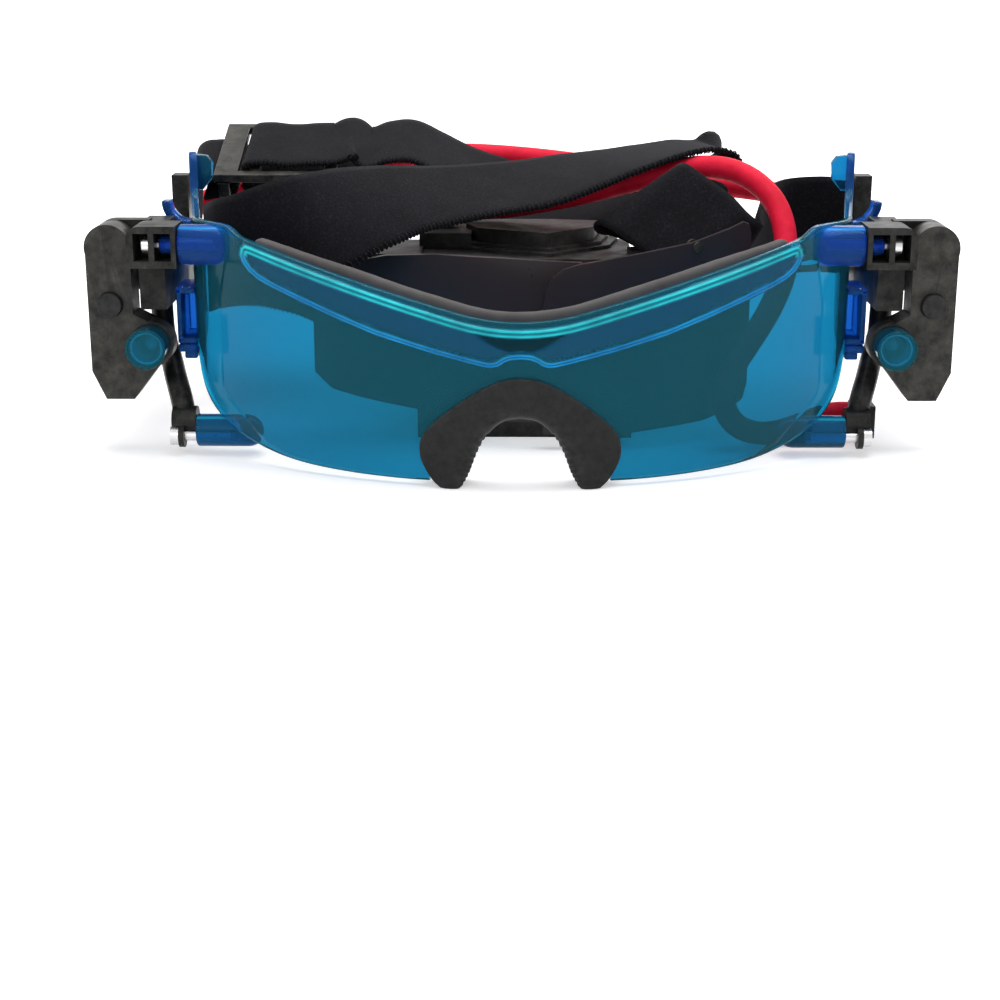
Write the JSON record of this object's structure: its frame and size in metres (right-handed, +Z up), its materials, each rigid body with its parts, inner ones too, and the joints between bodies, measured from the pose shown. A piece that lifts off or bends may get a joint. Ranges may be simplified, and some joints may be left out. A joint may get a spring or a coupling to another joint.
{
  "type": "light-up goggles",
  "caption": "Child's wrap-round tinted shield goggles with flip-out side lamps, rubber nose piece, folded elastic head strap, slide buckle, red lead and a forehead battery pack.",
  "frame": {"origin": "on the table, under the middle of the box of everything but the free leads", "axes": "+X along the face to the viewer's right, +Y from the shield's front to the back, +Z up"},
  "size_m": [0.1986, 0.1196, 0.0708],
  "materials": {
    "tinted_plastic": "clear glossy blue tint",
    "foam_strip": "matte soft strip",
    "black_rubber": "matte moulded rubber",
    "black_frame": "fine satin",
    "glossy_black": "glossy",
    "olive_black": "semi-gloss, worn edges",
    "black_webbing": "woven elastic, ribbed edges",
    "red_cord": "satin sleeve",
    "bright_steel": "bright zinc",
    "mirror_coat": "vacuum coated",
    "contact_metal": "plated spring steel",
    "cell_jacket": "plain jacket",
    "circuit_board": "solder mask",
    "led_clear": "clear dome"
  },
  "bodies": {
    "root": {"shield": "tinted_plastic", "brow_pad": "foam_strip", "nose_piece": "black_rubber", "shield_screws": "bright_steel", "side_frame_left": "black_frame", "side_frame_right": "black_frame", "forehead_band_left": "glossy_black", "forehead_band_right": "glossy_black", "band_rivets": "olive_black", "pack_case": "black_frame", "pack_cover": "black_frame", "pack_screw": "bright_steel", "cells": "cell_jacket", "cell_contacts": "contact_metal", "pack_board": "circuit_board", "strap_long": "black_webbing", "strap_short": "black_webbing", "strap_right": "black_webbing", "slider_buckle": "olive_black", "cord_glands": "black_rubber", "pack_lead": "red_cord", "link_lead": "red_cord", "hinge_pin_left": "bright_steel", "hinge_pin_right": "bright_steel"},
    "left_lamp": {"lamp_shell_left": "olive_black", "lamp_cover_left": "black_frame", "lamp_lens_left": "tinted_plastic", "reflector_left": "mirror_coat", "led_left": "led_clear", "lamp_board_left": "circuit_board", "lamp_screws_left": "bright_steel"},
    "left_button": {"lamp_button_left": "black_rubber"},
    "right_lamp": {"lamp_shell_right": "olive_black", "lamp_cover_right": "black_frame", "lamp_lens_right": "tinted_plastic", "reflector_right": "mirror_coat", "led_right": "led_clear", "lamp_board_right": "circuit_board", "lamp_screws_right": "bright_steel"},
    "right_button": {"lamp_button_right": "black_rubber"}
  },
  "joints": [
    {"name": "left_lamp_flip", "type": "hinge", "parent": "root", "child": "left_lamp", "pos_m": [-0.09401, -0.01846, 0.04753], "axis": [0, 1, 0], "range_deg": [0, 100]},
    {"name": "left_button_press", "type": "slide", "parent": "left_lamp", "child": "left_button", "axis": [0, 1, 0], "range_m": [0, 0.0012], "stiffness_N_per_m": 600},
    {"name": "right_lamp_flip", "type": "hinge", "parent": "root", "child": "right_lamp", "pos_m": [0.09401, -0.01846, 0.04753], "axis": [0, -1, 0], "range_deg": [0, 100]},
    {"name": "right_button_press", "type": "slide", "parent": "right_lamp", "child": "right_button", "axis": [0, 1, 0], "range_m": [0, 0.0012], "stiffness_N_per_m": 600}
  ]
}
